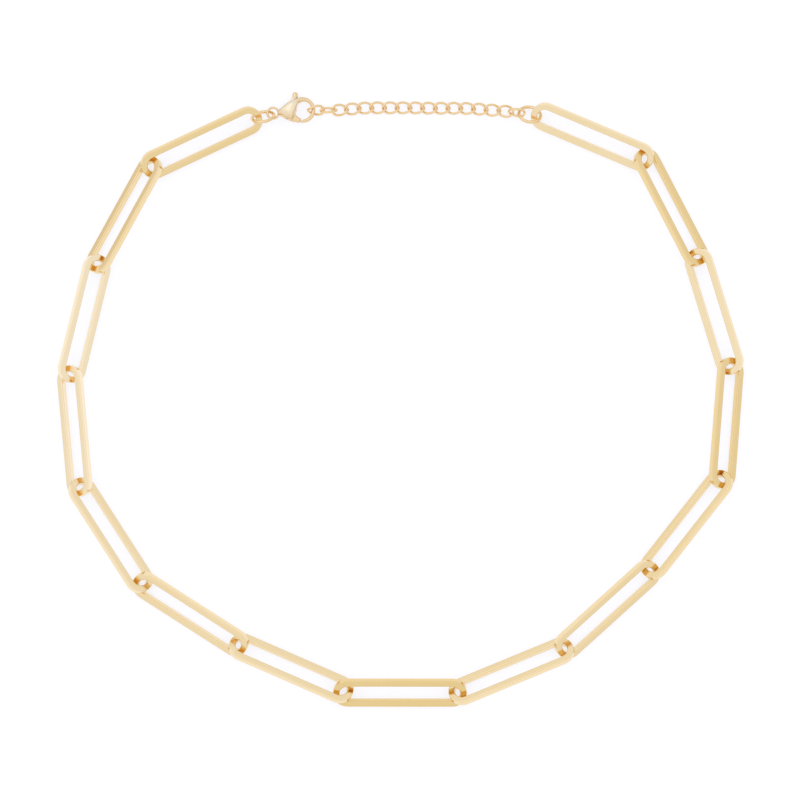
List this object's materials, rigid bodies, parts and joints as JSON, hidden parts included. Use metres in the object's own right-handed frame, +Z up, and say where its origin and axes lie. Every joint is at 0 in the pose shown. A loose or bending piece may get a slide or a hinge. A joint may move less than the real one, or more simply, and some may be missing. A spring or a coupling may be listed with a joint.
{
  "type": "paperclip chain necklace",
  "caption": "Fastened necklace of long square-wire paperclip links, closed by a lobster clasp hooked into a short curb extender chain, lying flat.",
  "frame": {"origin": "on the table, under the middle of the necklace's bounding box", "axes": "+Z up from the table, +Y towards the clasp and extender, +X along the extender from the clasp to its far ring"},
  "size_m": [0.1507, 0.1356, 0.0046],
  "materials": {
    "link_gold": "gold plated, satin-polished",
    "curb_gold": "gold plated, polished",
    "ring_gold": "gold plated, polished",
    "clasp_gold": "gold plated, polished cast"
  },
  "bodies": {
    "necklace": {"link_01": "link_gold", "link_02": "link_gold", "link_03": "link_gold", "link_04": "link_gold", "link_05": "link_gold", "link_06": "link_gold", "link_07": "link_gold", "link_08": "link_gold", "link_09": "link_gold", "link_10": "link_gold", "link_11": "link_gold", "link_12": "link_gold", "link_13": "link_gold", "link_14": "link_gold", "link_15": "link_gold", "curb_01": "curb_gold", "curb_02": "curb_gold", "curb_03": "curb_gold", "curb_04": "curb_gold", "curb_05": "curb_gold", "curb_06": "curb_gold", "curb_07": "curb_gold", "curb_08": "curb_gold", "curb_09": "curb_gold", "curb_10": "curb_gold", "curb_11": "curb_gold", "curb_12": "curb_gold", "curb_13": "curb_gold", "curb_14": "curb_gold", "curb_15": "curb_gold", "curb_16": "curb_gold", "curb_17": "curb_gold", "jump_ring_clasp": "ring_gold", "jump_ring_extender": "ring_gold", "clasp_body": "clasp_gold", "clasp_pin": "clasp_gold"},
    "lever": {"clasp_lever": "clasp_gold"}
  },
  "joints": [
    {"name": "lever_pivot", "type": "hinge", "parent": "necklace", "child": "lever", "pos_m": [-0.02447, 0.06233, 0.0015], "axis": [0, 0, 1], "range_deg": [0, 30], "stiffness_Nm_per_rad": 0.004, "springref_deg": -11.46}
  ]
}
